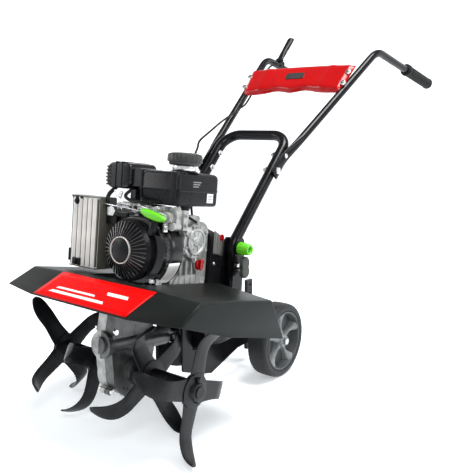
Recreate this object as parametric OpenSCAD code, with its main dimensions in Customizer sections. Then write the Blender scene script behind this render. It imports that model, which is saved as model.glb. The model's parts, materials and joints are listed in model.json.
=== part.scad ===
// Front-tine tiller: engine over a worm gearbox, four tine sets, two wheels and folding-height handlebars.
// -Y is the direction of travel, +X the operator's left, +Z up. The ground is the plane z = 0.

/* [Stance] */
// Radius swept by the tines, which is also the height of their shaft
tine_r = 140; // [130:1:145]
// Nose-up pitch of the machine when it stands on its tines and wheels
pitch = 7; // [6:0.5:8]
// Distance of the tine shaft in front of the middle of the footprint
shaft_front = 567.1; // [560:0.1:575]

/* [Tines] */
// Diameter of the tine shaft
shaft_d = 25; // [22:1:28]
// Outer diameter of the tine hubs
hub_d = 40; // [36:1:44]
// Width of a blade at its root
blade_w = 48; // [40:1:52]
// Thickness of a blade
blade_t = 5; // [3:0.5:6]
// Sideways bending radius of a blade's outer end
blade_bend_r = 62; // [55:1:66]
// Angle of that bend
blade_bend = 80; // [60:1:84]
// Distance of the inner blades from the middle
inner_x = 84; // [82:1:86]
// Distance of the outer blades from the middle
outer_x = 204; // [200:1:206]

/* [Gearbox] */
// Teeth on the worm wheel
wheel_teeth = 16; // [16:1:16]
// Distance between the tine shaft and the worm shaft
worm_z = 65; // [65:1:65]
// Outer radius of the gear case around the worm wheel
case_r = 58; // [56:1:60]
// Half width of the gear case
case_hw = 26; // [25:1:28]

/* [Engine] */
// Height of the crankshaft above the tine shaft
crank_z = 270; // [268:1:272]
// Radius of the starter cover
starter_r = 70; // [68:1:72]
// Radius of the blower housing
blower_r = 80; // [79:1:82]
// Fuel tank, width
tank_w = 115; // [100:1:118]
// Fuel tank, length
tank_l = 152; // [140:1:156]
// Fuel tank, height
tank_h = 74; // [66:1:76]

/* [Hood] */
// Half width of the hood
hood_hw = 267; // [262:1:270]
// Thickness of the hood's sheet
hood_t = 3; // [2:0.5:4]
// Half width of the hood's front face
panel_hw = 148; // [130:1:155]

/* [Wheels] */
// Radius of the tyres
wheel_r = 101.5; // [95:0.5:105]
// Width of the tyres
wheel_w = 56; // [45:1:60]
// Distance of a wheel's outer face from the middle
wheel_face = 143; // [140:1:150]
// Distance of the axle behind the tine shaft
axle_y = 460; // [450:1:470]

/* [Handlebars] */
// Diameter of the lower handlebar tube
loop_d = 28; // [25:0.5:28.5]
// Diameter of the upper handlebar tubes
tube_d = 22; // [20:0.5:25]
// Distance of the lower handlebar's legs from the middle
leg_x = 104; // [103:0.5:105]
// Height of the grips' ends above the ground
grip_z = 815; // [800:5:825]
// Diameter of a grip
grip_d = 34; // [30:1:38]

/* [Hidden] */
$fn = 48;

// Colours
black = [0.05, 0.05, 0.055];
hood_grey = [0.14, 0.15, 0.14];
cast = [0.72, 0.72, 0.70];
steel = [0.62, 0.62, 0.64];
rubber = [0.07, 0.07, 0.07];
hub_grey = [0.26, 0.27, 0.27];
red = [0.85, 0.03, 0.04];
green = [0.35, 0.78, 0.10];

// Gearing
wheel_pitch_r = 47;
worm_pitch_r = worm_z - wheel_pitch_r;
worm_lead = 2 * PI * wheel_pitch_r / wheel_teeth;
worm_len = 60;
worm_twist = -360 * worm_len / worm_lead;
pulley_y = 213;
drive_r = 24;
driven_r = 36;
idler_x = 56;

// Where things lie, in the machine's own frame: origin on the tine shaft, level with the engine's base
plate_z = 160;
head_y = 124;
web_y = [96, 138];
cover_y = 125;
cover_z = 293;
plug_y = 150;
plug_z = 236;
tank_z = 376;
cap_at = [67, 82];
pivot = [271, 342];
release_at = [275, 386];
elbow_lap = 2;
elbow_swell = 0.2;
leg_elbow = [pivot[0], 392];
leg_top = [528, 651];
loop_bend = 50;
leg_bolts = [[440, 564], [477, 601]];
blade_straight = tine_r - blade_bend_r * sin(blade_bend);
// The left handlebar tube: its start beside the leg, its bend, and its end inside the grip
handle_start = [131, 500, 616];
handle_bend = [194, 870, 893];
handle_end = [212, 1262, grip_z];
function along_grip(t) = handle_bend + (handle_end - handle_bend) * t;
lever_pivot = [-198, 958, 895];
console_at = [734, 805];
console_tilt = 46;

// ---------------------------------------------------------------- helpers
// The machine's frame, pitched nose-up about the tine shaft
module machine() translate([0, -shaft_front, tine_r]) rotate([-pitch, 0, 0]) children();
// The ground frame, with y measured from the tine shaft
module ground() translate([0, -shaft_front, 0]) children();
module block(x0, x1, y0, y1, z0, z1) translate([x0, y0, z0]) cube([x1 - x0, y1 - y0, z1 - z0]);
module bar_x(d, x0, x1, y, z) translate([x0, y, z]) rotate([0, 90, 0]) cylinder(d = d, h = x1 - x0);
module bar_y(d, y0, y1, x, z) translate([x, y0, z]) rotate([-90, 0, 0]) cylinder(d = d, h = y1 - y0);
module bar_z(d, z0, z1, x, y) translate([x, y, z0]) cylinder(d = d, h = z1 - z0);
module ring_x(d, bore, x0, x1, y, z) difference() {
    bar_x(d, x0, x1, y, z);
    bar_x(bore, x0 - 1, x1 + 1, y, z);
}
module ring_y(d, bore, y0, y1, x, z) difference() {
    bar_y(d, y0, y1, x, z);
    bar_y(bore, y0 - 1, y1 + 1, x, z);
}
// An outline given in y and z, extruded along x
module plate_x(x0, x1, outline) translate([x0, 0, 0]) rotate([90, 0, 90])
    linear_extrude(x1 - x0) polygon(outline);
// Children drawn in x and z, extruded along y
module slab_y(y0, y1) translate([0, y1, 0]) rotate([90, 0, 0]) linear_extrude(y1 - y0) children();
// Children drawn in x and y, extruded along z
module slab_z(z0, z1) translate([0, 0, z0]) linear_extrude(z1 - z0) children();
module round_rect(x0, x1, y0, y1, r) {
    translate([x0 + r, y0]) square([x1 - x0 - 2 * r, y1 - y0]);
    translate([x0, y0 + r]) square([x1 - x0, y1 - y0 - 2 * r]);
    for (x = [x0 + r, x1 - r], y = [y0 + r, y1 - r]) translate([x, y]) circle(r);
}
module both_sides() {
    children();
    mirror([1, 0, 0]) children();
}
function unit(v) = v / norm(v);
// A round bar from a to b
module rod(a, b, d) {
    v = b - a;
    translate(a) rotate([0, acos(v[2] / norm(v)), atan2(v[1], v[0])]) cylinder(d = d, h = norm(v));
}
// A tube along points with bends of radius bend: straight lengths that end inside slightly thicker elbows
module bent_tube(pts, d, wall, bend) {
    n = len(pts);
    u = [for (i = [0 : n - 2]) unit(pts[i + 1] - pts[i])];
    turn = [for (i = [0 : n - 1]) i == 0 || i == n - 1 ? 0 : acos(u[i - 1] * u[i])];
    cut = [for (a = turn) a == 0 ? 0 : bend * tan(a / 2) - elbow_lap];
    for (i = [0 : n - 2]) difference() {
        rod(pts[i] + u[i] * cut[i], pts[i + 1] - u[i] * cut[i + 1], d);
        rod(pts[i] + u[i] * (cut[i] - 1), pts[i + 1] - u[i] * (cut[i + 1] - 1), d - 2 * wall);
    }
    for (i = [1 : n - 2]) {
        w = unit(u[i] - u[i - 1] * (u[i - 1] * u[i]));
        k = cross(u[i - 1], w);
        c = pts[i] - u[i - 1] * (cut[i] + elbow_lap) + w * bend;
        multmatrix([[-w[0], u[i - 1][0], k[0], c[0]], [-w[1], u[i - 1][1], k[1], c[1]],
            [-w[2], u[i - 1][2], k[2], c[2]], [0, 0, 0, 1]])
            rotate_extrude(angle = turn[i]) translate([bend, 0]) difference() {
                circle(d = d + elbow_swell);
                circle(d = d - 2 * wall - elbow_swell);
            }
    }
}
// Rings of points swept along a route into one closed tube, for a cable
module swept(route, d, sides) {
    n = len(route);
    dir = [for (i = [0 : n - 1]) unit(route[min(i + 1, n - 1)] - route[max(i - 1, 0)])];
    side = [for (t = dir) unit(cross(t, [1, 0.2, 0.1]))];
    pts = [for (i = [0 : n - 1], k = [0 : sides - 1]) let (a = 360 * k / sides)
        route[i] + d / 2 * (cos(a) * side[i] + sin(a) * cross(dir[i], side[i]))];
    walls = [for (i = [0 : n - 2], k = [0 : sides - 1]) let (j = (k + 1) % sides)
        [i * sides + j, i * sides + k, (i + 1) * sides + k, (i + 1) * sides + j]];
    polyhedron(pts, concat(walls, [[for (k = [0 : sides - 1]) k],
        [for (k = [sides - 1 : -1 : 0]) (n - 1) * sides + k]]), convexity = 4);
}

// ---------------------------------------------------------------- gearbox
module gear_case_solid() {
    bar_x(2 * case_r, -case_hw, case_hw, 0, 0);
    plate_x(-case_hw, case_hw, [[-58, 0], [-70, 60], [-66, 100], [-60, plate_z - 8], [60, plate_z - 8],
        [66, 100], [66, 40], [58, 0]]);
    bar_y(60, -78, 118, 0, worm_z);
    bar_y(37, -84, -78, 0, worm_z);
    bar_x(62, -46, 46, 0, 0);
    block(-60, 60, -66, 74, plate_z - 8, plate_z);
    for (p = [[-52, -42], [10, -64], [48, -48]]) bar_x(16, -14, 14, p[0], p[1]);
}
module gear_case_cavity() {
    bar_x(2 * case_r - 7, -19, 19, 0, 0);
    bar_y(52, -52, 56, 0, worm_z);
    bar_y(35, -72, -51, 0, worm_z);
    bar_y(35, 55, 112, 0, worm_z);
    bar_y(24, 111, 119, 0, worm_z);
    bar_x(35, -47, 47, 0, 0);
    block(-20, 20, -50, 50, 95, plate_z - 14);
    for (p = [[-52, -42], [10, -64], [48, -48], [-62, 96], [58, 96]]) bar_x(6.4, -30, 30, p[0], p[1]);
}
module gearbox_half(s) machine() intersection() {
    difference() {
        gear_case_solid();
        gear_case_cavity();
    }
    mirror([s < 0 ? 1 : 0, 0, 0]) block(0, 100, -120, 150, -100, plate_z + 10);
}
module gearbox_left() color(cast) gearbox_half(1);
module gearbox_right() color(cast) gearbox_half(-1);
module gearbox_bolts() color(steel) machine() {
    for (p = [[-52, -42], [10, -64], [48, -48]]) {
        bar_x(6, -14, 14, p[0], p[1]);
        both_sides() bar_x(12, 14, 19, p[0], p[1]);
    }
    for (p = [[-62, 96], [58, 96]]) {
        bar_x(6, -case_hw, case_hw, p[0], p[1]);
        both_sides() bar_x(12, case_hw, case_hw + 5, p[0], p[1]);
    }
}
module worm_bearings() color(steel) machine() {
    ring_y(35, 15.1, -71, -60, 0, worm_z);
    ring_y(35, 17.1, 98, 111, 0, worm_z);
}
module shaft_seals() color(rubber) machine() both_sides() {
    ring_x(35, shaft_d + 0.1, 28, 46, 0, 0);
}
module worm_shaft() color(steel) machine() {
    translate([0, 0, worm_z]) rotate([-90, 0, 0]) rotate([0, 0, worm_twist / 2])
        linear_extrude(worm_len, center = true, twist = worm_twist, slices = 36)
        translate([0, 5.5]) circle(17.5, $fn = 20);
    bar_y(15, -72, -29, 0, worm_z);
    bar_y(17, 29, 222, 0, worm_z);
}
module worm_wheel() color([0.75, 0.6, 0.3]) machine() difference() {
    union() {
        bar_x(82, -9, 9, 0, 0);
        bar_x(50, -18, 18, 0, 0);
        for (i = [0 : wheel_teeth - 1]) rotate([360 / wheel_teeth * (i + 0.5), 0, 0])
            rotate([0, 0, 9]) translate([-7, -1.9, 39]) cube([14, 3.8, 11.5]);
    }
    bar_x(shaft_d, -30, 30, 0, 0);
}

// ---------------------------------------------------------------- tines
module tine_shaft() color(steel) machine() difference() {
    bar_x(shaft_d, -222, 222, 0, 0);
    both_sides() bar_z(7, -30, 30, 214, 0);
}
// One blade pointing up, its outer end bent towards +x
module blade() intersection() {
    difference() {
        union() {
            translate([-blade_t / 2, -blade_w / 2, 6]) cube([blade_t, blade_w, blade_straight - 6]);
            translate([blade_bend_r, 0, blade_straight]) rotate([-90, 0, 0]) rotate([0, 0, 180])
                rotate_extrude(angle = blade_bend)
                translate([blade_bend_r - blade_t / 2, -blade_w / 2]) square([blade_t, blade_w]);
        }
        // hollowed trailing side and a slanted tip
        translate([-30, 150, 96]) rotate([0, 90, 0]) cylinder(r = 138, h = 120);
        translate([-30, -24, 122]) rotate([52, 0, 0]) cube([120, 60, 60]);
    }
    bar_x(2 * tine_r, -90, 90, 0, 0);
}
module tine_set(x, x0, x1, phase, turn) machine() difference() {
    union() {
        bar_x(hub_d, x0, x1, 0, 0);
        translate([x, 0, 0]) for (i = [0 : 3]) rotate([90 - phase - 90 * i, 0, 0])
            mirror([(i + turn) % 2, 0, 0]) blade();
        bar_x(74, x - 5, x + 5, 0, 0);
    }
    bar_x(shaft_d + 0.1, x0 - 1, x1 + 1, 0, 0);
    for (s = [-1, 1]) bar_z(7, -30, 30, 214 * s, 0);
}
module tine_outer_left() color(black) tine_set(outer_x, 141, 219, 15, 1);
module tine_inner_left() color(black) tine_set(inner_x, 47, 140, 60, 0);
module tine_inner_right() color(black) tine_set(-inner_x, -140, -47, 20, 0);
module tine_outer_right() color(black) tine_set(-outer_x, -219, -141, 57, 1);
module hitch_pins() color(steel) machine() both_sides() {
    bar_z(6.6, -25, 25, 214, 0);
    bar_z(10, 25, 30, 214, 0);
}

// ---------------------------------------------------------------- frame and wheels
module engine_frame() color(black) machine() difference() {
    union() {
        block(-86, 86, -70, 187, plate_z, plate_z + 6);
        both_sides() {
            plate_x(81, 86, [[90, plate_z], [110, 130], [300, 130], [300, 175], [187, 175], [187, 166], [90, 166]]);
            plate_x(34, 40, [[104, plate_z], [146, 60], [150, -10], [188, -10], [188, plate_z]]);
        }
        block(-34, 34, 150, 156, 80, plate_z);
    }
    bar_y(66, 140, 200, 0, worm_z);
}
module bracket_side() {
    plate_x(86, 89.5, [[205, 136], [266, 136], [264, 290], [256, 302], [232, 302], [226, 290], [222, 190]]);
    plate_x(119, 122.5, [[224, 168], [266, 168], [264, 290], [256, 302], [232, 302], [226, 290]]);
    block(86, 122.5, 224, 265.5, 166, 169);
}
module handlebar_brackets() color(black) difference() {
    machine() both_sides() bracket_side();
    ground() {
        bar_x(8.4, -130, 130, pivot[0], pivot[1]);
        bar_x(10.4, -130, 130, release_at[0], release_at[1]);
    }
}
module wheel_bracket() color(black) ground() {
    difference() {
        both_sides() plate_x(40.2, 45.2, [[150, 90], [150, 215], [178, 215], [187, 134], [300, 120], [377, 120],
            [axle_y + 15, 117], [axle_y + 15, 88], [377, 84], [262, 50], [225, 60]]);
        bar_x(12.2, -60, 60, axle_y, wheel_r);
    }
    // cross bar and socket for the depth stake
    block(-45, 45, axle_y + 10, axle_y + 16, 88, 116);
    difference() {
        block(-10, 10, axle_y + 15, axle_y + 50, 88, 116);
        block(-5.4, 5.4, axle_y + 19.6, axle_y + 45.4, 80, 120);
    }
}
module wheel_axle() color(steel) ground() {
    bar_x(12, -150, 150, axle_y, wheel_r);
    both_sides() bar_x(18, 145.5, 151, axle_y, wheel_r);
}
module wheel_hub() ground() translate([wheel_face - wheel_w, axle_y, wheel_r]) rotate([0, 90, 0]) difference() {
    union() {
        difference() {
            cylinder(r = 80, h = wheel_w);
            translate([0, 0, 26]) cylinder(r = 74, h = wheel_w);
            translate([0, 0, -1]) cylinder(r = 74, h = 19);
        }
        cylinder(d = 34, h = wheel_w + 1);
        for (i = [0 : 4]) rotate(72 * i) translate([12, -9, 24]) cube([66, 18, wheel_w - 30]);
    }
    translate([0, 0, -1]) cylinder(d = 12.15, h = wheel_w + 4);
}
module tyre() ground() translate([wheel_face - wheel_w, axle_y, wheel_r]) rotate([0, 90, 0]) rotate_extrude()
    difference() {
    union() {
        translate([80, 3]) square([16.5, wheel_w - 6]);
        translate([90, 3]) square([wheel_r - 90, wheel_w - 6]);
        translate([80, 0]) square([14, wheel_w]);
    }
    translate([70, -1]) square([10, wheel_w + 2]);
}
module wheel_left() color(hub_grey) wheel_hub();
module wheel_right() color(hub_grey) mirror([1, 0, 0]) wheel_hub();
module tyre_left() color(rubber) tyre();
module tyre_right() color(rubber) mirror([1, 0, 0]) tyre();
module depth_stake() color(steel) ground() difference() {
    block(-5, 5, axle_y + 20, axle_y + 45, 40, 245);
    for (i = [0 : 6]) bar_x(8, -10, 10, axle_y + 32.5, 75 + 26 * i);
}

// ---------------------------------------------------------------- hood
// The hood's corners on one side; inset moves them in by the sheet's thickness and out through the bottom
function hood_corners(i) = [
    [panel_hw, -154 + 1.5 * i, 160 - 4.2 * i], [hood_hw - i, -131 + 1.5 * i, 164 - 4.2 * i],
    [panel_hw, -68 + i, 205 - i], [262 - i, -68 + i, 203 - i], [262 - i, 76, 192 - i], [262 - i, 190 - i, 180 - i],
    [130, 190 - i, 191 - i], [hood_hw - i, 21, 122 - 4 * i], [hood_hw - i, 247 - i, 83 - 4 * i],
    [0, -68 + i, 206 - i], [0, 190 - i, 194 - i]];
module hood_form(i) hull() both_sides() for (p = hood_corners(i)) translate(p) cube(0.02, center = true);
module hood() color(hood_grey) machine() difference() {
    hood_form(0);
    hood_form(hood_t);
    block(-87, 87, -45, 260, 60, 220);
    block(-123, 123, 205, 260, 60, 220);
}

// ---------------------------------------------------------------- engine
module crankcase() color(cast) machine() difference() {
    union() {
        slab_y(60, 187) round_rect(-68, 66, plate_z + 18, 336, 22);
        block(-80, 80, 64, 184, plate_z + 6, plate_z + 20);
        bar_x(84, 60, 70, cover_y, cover_z);
    }
    slab_y(66, 181) round_rect(-62, 60, plate_z + 24, 330, 18);
    bar_x(72, 50, 80, cover_y, cover_z);
    bar_y(25.1, 50, 200, 0, crank_z);
    block(-90, -50, head_y - 40, head_y + 40, 225, 334);
    bar_x(16, 40, 90, plug_y, plug_z);
}
module crankcase_cover() color(cast) machine() difference() {
    union() {
        bar_x(84, 70, 76, cover_y, cover_z);
        bar_x(66, 76, 82, cover_y, cover_z);
        for (a = [30 : 60 : 330]) bar_x(13, 70, 83, cover_y + 38 * cos(a), cover_z + 38 * sin(a));
    }
    bar_x(40, 69, 78, cover_y, cover_z);
}
module toward_head() translate([0, head_y, crank_z]) rotate([0, -70, 0]) children();
module cylinder_block() color(cast) machine() toward_head() difference() {
    union() {
        translate([0, 0, 76]) cylinder(d = 62, h = 50);
        for (i = [0 : 5]) translate([0, 0, 78 + 7 * i]) cylinder(d = 82, h = 2.5);
        translate([-38, -38, 120]) cube([76, 76, 5]);
        for (i = [0 : 3]) translate([-40, -40, 128 + 6 * i]) cube([80, 80, 2.5]);
        translate([-30, -30, 124]) cube([60, 60, 28]);
    }
    translate([0, 0, 40]) cylinder(d = 52, h = 84);
}
module rocker_cover() color(black) machine() toward_head() difference() {
    translate([-32, -32, 152.3]) cube([64, 64, 20]);
    translate([-28, -28, 151]) cube([56, 56, 17]);
}
module plug_solids() machine() toward_head() {
    translate([0, 40.2, 140]) rotate([-90, 0, 0]) cylinder(d = 14, h = 12);
    translate([0, 48, 140]) rotate([-90, 0, 0]) cylinder(d = 20, h = 22);
}
module crankshaft() color(steel) machine() {
    bar_y(24.9, 30, web_y[0] + 4, 0, crank_z);
    bar_y(24.9, web_y[1] + 8, 226, 0, crank_z);
    bar_y(16, -22, 31, 0, crank_z);
    for (y = web_y) slab_y(y, y + 14) translate([0, crank_z]) {
        circle(r = 24);
        translate([-20, -40]) square([40, 40]);
    }
    bar_y(18, web_y[0] + 2, web_y[1] + 12, 0, crank_z + 18);
}
module piston_rod() color(cast) machine() toward_head() {
    translate([0, 0, 88]) difference() {
        cylinder(d = 51.9, h = 32);
        translate([0, 0, -1]) cylinder(d = 44, h = 24);
    }
    translate([-6, -5, 50]) cube([12, 10, 60]);
}
module flywheel() color(steel) machine() difference() {
    union() {
        bar_y(136, 34, 50, 0, crank_z);
        for (a = [0 : 30 : 330]) translate([0, 0, crank_z]) rotate([0, a, 0]) block(40, 66, 16, 35, -2, 2);
        bar_y(40, 12, 50, 0, crank_z);
    }
    bar_y(24.9, 30, 80, 0, crank_z);
    bar_y(16, 0, 60, 0, crank_z);
}
module ignition() color(black) {
    machine() block(-14, 14, 36, 50, crank_z - 75, crank_z - 69);
    plug_solids();
}
module blower_form(r, x1) translate([0, crank_z]) {
    circle(r);
    translate([0, -r]) square([x1, 2 * r]);
    translate([x1, 0]) circle(r);
}
module blower_housing() color(black) machine() difference() {
    slab_y(0, 57) blower_form(blower_r, 22);
    slab_y(3, 58) blower_form(blower_r - 3, 22);
    bar_y(2 * starter_r - 24, -2, 4, 0, crank_z);
}
module starter_cover() color(black) machine() difference() {
    union() {
        bar_y(2 * starter_r, -14, -0.3, 0, crank_z);
        translate([0, -13.9, crank_z]) rotate([90, 0, 0]) cylinder(r1 = starter_r - 4, r2 = 34, h = 21);
        translate([58, -11, crank_z + 46]) rotate([0, 12, 0]) cylinder(d = 18, h = 26);
    }
    bar_y(2 * starter_r - 8, -12, 1, 0, crank_z);
    translate([0, -11.9, crank_z]) rotate([90, 0, 0]) cylinder(r1 = starter_r - 8, r2 = 30, h = 20);
    for (a = [0 : 15 : 345]) translate([0, 0, crank_z]) rotate([0, a, 0]) block(37, 59, -40, -10, -2, 2);
    translate([58, -11, crank_z + 40]) rotate([0, 12, 0]) cylinder(d = 6, h = 40);
}
module starter_pulley() color(black) machine() difference() {
    union() {
        bar_y(76, -11, -8, 0, crank_z);
        bar_y(66, -8, -3, 0, crank_z);
        bar_y(76, -3, -0.5, 0, crank_z);
    }
    bar_y(16.6, -20, 10, 0, crank_z);
}
module pull_handle() color(green) machine() {
    translate([67, -11, crank_z + 83]) rotate([0, 12, 0]) hull() both_sides() {
        translate([32, 0, 0]) sphere(7, $fn = 14);
        translate([8, 0, 0]) sphere(10, $fn = 18);
    }
    translate([58, -11, crank_z + 40]) rotate([0, 12, 0]) translate([0, 0, 8]) cylinder(d = 4, h = 36);
}
module carburetor() color(cast) machine() difference() {
    union() {
        bar_y(23, 22, 80, -16, 363.2);
        block(-36, 6, 34, 70, 352, 374.5);
        bar_x(20, -60, 40, 52, 363.2);
    }
    bar_y(14, 20, 82, -16, 363.2);
}
module choke_lever() color(steel) machine() {
    bar_y(5, 12, 33.7, -32, 363.2);
    block(-60, -32, 12, 15, 360.5, 366);
    bar_y(14, 9, 15, -62, 363.2);
}
module throttle_lever() color(steel) machine() {
    bar_y(5, 12, 33.7, 0, 363.2);
    block(0, 30, 12, 15, 360.5, 366);
    bar_y(10, 9, 15, 32, 363.2);
}
module air_cleaner() color(black) machine() difference() {
    union() {
        slab_y(22, 112) round_rect(-122, -40, 402, 464, 18);
        block(-41, -14.5, 30, 104, 408, 452);
        block(-58, -41, 42, 62, 373.4, 404);
    }
    slab_y(28, 106) round_rect(-117, -46, 408, 458, 14);
    for (i = [0 : 4]) block(-124, -115, 30, 100, 412 + 10 * i, 416 + 10 * i);
}
module fuel_tank() color(black) machine() difference() {
    union() {
        slab_y(22, 22 + tank_l) round_rect(-13, tank_w - 13, tank_z, tank_z + tank_h, 14);
        bar_z(46, tank_z + tank_h - 10, 462, cap_at[0], cap_at[1]);
    }
    slab_y(25, 19 + tank_l) round_rect(-10, tank_w - 16, tank_z + 3, tank_z + tank_h - 3, 11);
    bar_z(38, tank_z + tank_h - 20, 470, cap_at[0], cap_at[1]);
}
module fuel_cap() color([0.22, 0.22, 0.22]) machine() difference() {
    union() {
        bar_z(80, 464.5, 490, cap_at[0], cap_at[1]);
        bar_z(62, 490, 493, cap_at[0], cap_at[1]);
    }
    bar_z(46.8, 460, 484, cap_at[0], cap_at[1]);
    for (a = [0 : 22.5 : 340])
        translate([cap_at[0] + 42 * cos(a), cap_at[1] + 42 * sin(a), 460]) cylinder(d = 9, h = 26);
}
module muffler() color(steel) machine() {
    slab_y(-8, 58) round_rect(-180, -106, 224, 366, 20);
    bar_y(26, 58, head_y - 40.3, -132, 322);
}
module muffler_guard() color(steel) machine() difference() {
    union() {
        slab_y(-18, 20) round_rect(-190, -98, 212, 380, 12);
        for (i = [0 : 4]) bar_z(15, 220, 372, -177 + 16.5 * i, -14);
    }
    slab_y(-16, 21) round_rect(-188, -100, 214, 378, 11);
}
module oil_plug() color(red) machine() {
    bar_x(15.7, 62, 72, plug_y, plug_z);
    bar_x(24, 70.3, 76, plug_y, plug_z);
    block(75, 84, plug_y - 5, plug_y + 5, plug_z - 12, plug_z + 14);
}

// ---------------------------------------------------------------- belt drive
module belt_cover() color(black) machine() difference() {
    slab_y(190, 286) round_rect(-76, 76, 22, 322, 40);
    slab_y(193, 283) round_rect(-73, 73, 25, 319, 37);
    bar_y(40, 180, 200, 0, crank_z);
    bar_y(40, 180, 200, 0, worm_z);
    translate([-100, 196, 324]) rotate([-32, 0, 0]) cube([200, 160, 80]);
}
module pulley(r, z, bore) difference() {
    union() {
        bar_y(2 * r - 6, pulley_y - 8, pulley_y + 8, 0, z);
        bar_y(2 * r + 8, pulley_y - 10, pulley_y - 7, 0, z);
        bar_y(2 * r + 8, pulley_y + 7, pulley_y + 10, 0, z);
    }
    bar_y(bore, pulley_y - 20, pulley_y + 20, 0, z);
}
module drive_pulley() color(steel) machine() pulley(drive_r, crank_z, 24.9);
module driven_pulley() color(steel) machine() pulley(driven_r, worm_z, 17);
belt_a = asin((driven_r - drive_r) / (crank_z - worm_z));
module belt_outline(off) {
    a = drive_r + off;
    b = driven_r + off;
    translate([0, crank_z]) circle(a);
    translate([0, worm_z]) circle(b);
    polygon([[a * cos(belt_a), crank_z + a * sin(belt_a)], [-a * cos(belt_a), crank_z + a * sin(belt_a)],
        [-b * cos(belt_a), worm_z + b * sin(belt_a)], [b * cos(belt_a), worm_z + b * sin(belt_a)]]);
}
module drive_belt() color(rubber) machine() difference() {
    slab_y(pulley_y - 5, pulley_y + 5) belt_outline(3);
    slab_y(pulley_y - 6, pulley_y + 6) belt_outline(-2.6);
}
module idler_arm() color(steel) machine() {
    slab_y(194, 198) {
        translate([idler_x, 120]) circle(9);
        translate([idler_x - 5, 120]) square([10, 56]);
        translate([idler_x, 178]) circle(9);
    }
    bar_y(10, 198, 206, idler_x, 178);
    bar_y(28, 206, 220, idler_x, 178);
}

// ---------------------------------------------------------------- handlebars
module leg_bolt_holes() for (p = leg_bolts) bar_x(8.2, -150, 150, p[0], p[1]);
module lower_handlebar() color(black) ground() difference() {
    bent_tube([[-leg_x, pivot[0], 288], [-leg_x, leg_elbow[0], leg_elbow[1]], [-leg_x, leg_top[0], leg_top[1]],
        [leg_x, leg_top[0], leg_top[1]], [leg_x, leg_elbow[0], leg_elbow[1]], [leg_x, pivot[0], 288]],
        loop_d, 2, loop_bend);
    bar_x(8.2, -150, 150, pivot[0], pivot[1]);
    bar_x(10.4, -150, 150, release_at[0], release_at[1]);
    leg_bolt_holes();
}
// A tube whose lower end is pressed flat against the leg
module upper_handlebar() color(black) ground() difference() {
    union() {
        bent_tube([handle_start, handle_bend, handle_end], tube_d, 2, 80);
        translate([118.4, leg_bolts[0][0], leg_bolts[0][1]]) rotate([39, 0, 0])
            translate([0, -14, -14]) cube([6, 104, 28]);
    }
    leg_bolt_holes();
}
module upper_handlebars() both_sides() upper_handlebar();
module console_panel() color(red) ground() difference() {
    translate([0, console_at[0], console_at[1]]) rotate([console_tilt, 0, 0]) difference() {
        slab_z(0, 18) polygon([[-178, 56], [178, 56], [170, -56], [60, -40], [-60, -40], [-170, -56]]);
        translate([0, 0, -1]) slab_z(0, 15) polygon([[-174, 52], [174, 52], [166, -52], [60, -36], [-60, -36],
            [-166, -52]]);
    }
    both_sides() rod(handle_start, handle_bend, tube_d + 0.6);
}
module grips() color(rubber) ground() both_sides() difference() {
    rod(along_grip(0.53), along_grip(1.01), grip_d);
    rod(along_grip(0.5), along_grip(1.001), tube_d + 0.1);
}
module engage_lever() color(black) ground() translate(lever_pivot) {
    rotate([46, 0, 0]) block(-9, 9, 0, 112, -3, 3);
    bar_x(14, -11, 11, 0, 0);
}
// The cable's route from the lever to the belt cover, by way of the right handlebar
cable_upper = [[-180, 948, 884], [-178, 900, 876], [-174, 860, 866], [-165, 800, 828], [-161, 747, 784],
    [-152, 697, 748], [-144, 668, 736], [-138, 642, 730], [-122, 580, 716], [-104, 500, 694], [-80, 420, 668],
    [-60, 350, 640]];
cable_lower = [[-58, 347, 638], [-44, 320, 622], [-26, 280, 592], [-12, 252, 550], [-4, 244, 500],
    [0, 243, 460], [0, 245, 440]];
module cable_at_handlebar() color(black) ground() swept(cable_upper, 6, 8);
module cable_at_engine() color(black) ground() swept(cable_lower, 6, 8);
module height_knob() color(black) ground() {
    bar_x(8, 84, 134, pivot[0], pivot[1]);
    bar_x(22, 123, 134, pivot[0], pivot[1]);
    hull() for (z = [-16, 0, 16]) bar_x(z == 0 ? 24 : 20, 134, 146, pivot[0], pivot[1] + z);
}
module height_knob_left() height_knob();
module height_knob_right() mirror([1, 0, 0]) height_knob();
module release_knob() color(green) ground() difference() {
    union() {
        bar_x(10, 119, 124, release_at[0], release_at[1]);
        translate([123, release_at[0], release_at[1]]) rotate([0, 90, 0]) cylinder(d1 = 32, d2 = 27, h = 31);
    }
    bar_x(15, 145, 160, release_at[0], release_at[1]);
}
module fasteners() color(steel) ground() {
    both_sides() for (p = leg_bolts) {
        bar_x(8, 85, 128, p[0], p[1]);
        bar_x(15, 124.6, 129, p[0], p[1]);
        bar_x(15, 84, 89.8, p[0], p[1]);
    }
}

gearbox_left();
gearbox_right();
gearbox_bolts();
worm_bearings();
shaft_seals();
worm_shaft();
driven_pulley();
worm_wheel();
tine_shaft();
tine_outer_left();
tine_inner_left();
tine_inner_right();
tine_outer_right();
hitch_pins();
engine_frame();
handlebar_brackets();
wheel_bracket();
wheel_axle();
wheel_left();
tyre_left();
wheel_right();
tyre_right();
depth_stake();
hood();
crankcase();
crankcase_cover();
cylinder_block();
rocker_cover();
crankshaft();
ignition();
piston_rod();
flywheel();
drive_pulley();
blower_housing();
starter_cover();
starter_pulley();
pull_handle();
carburetor();
choke_lever();
throttle_lever();
air_cleaner();
fuel_tank();
fuel_cap();
muffler();
muffler_guard();
oil_plug();
belt_cover();
drive_belt();
idler_arm();
lower_handlebar();
upper_handlebars();
console_panel();
grips();
engage_lever();
cable_at_handlebar();
cable_at_engine();
height_knob_left();
height_knob_right();
release_knob();
fasteners();
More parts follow.
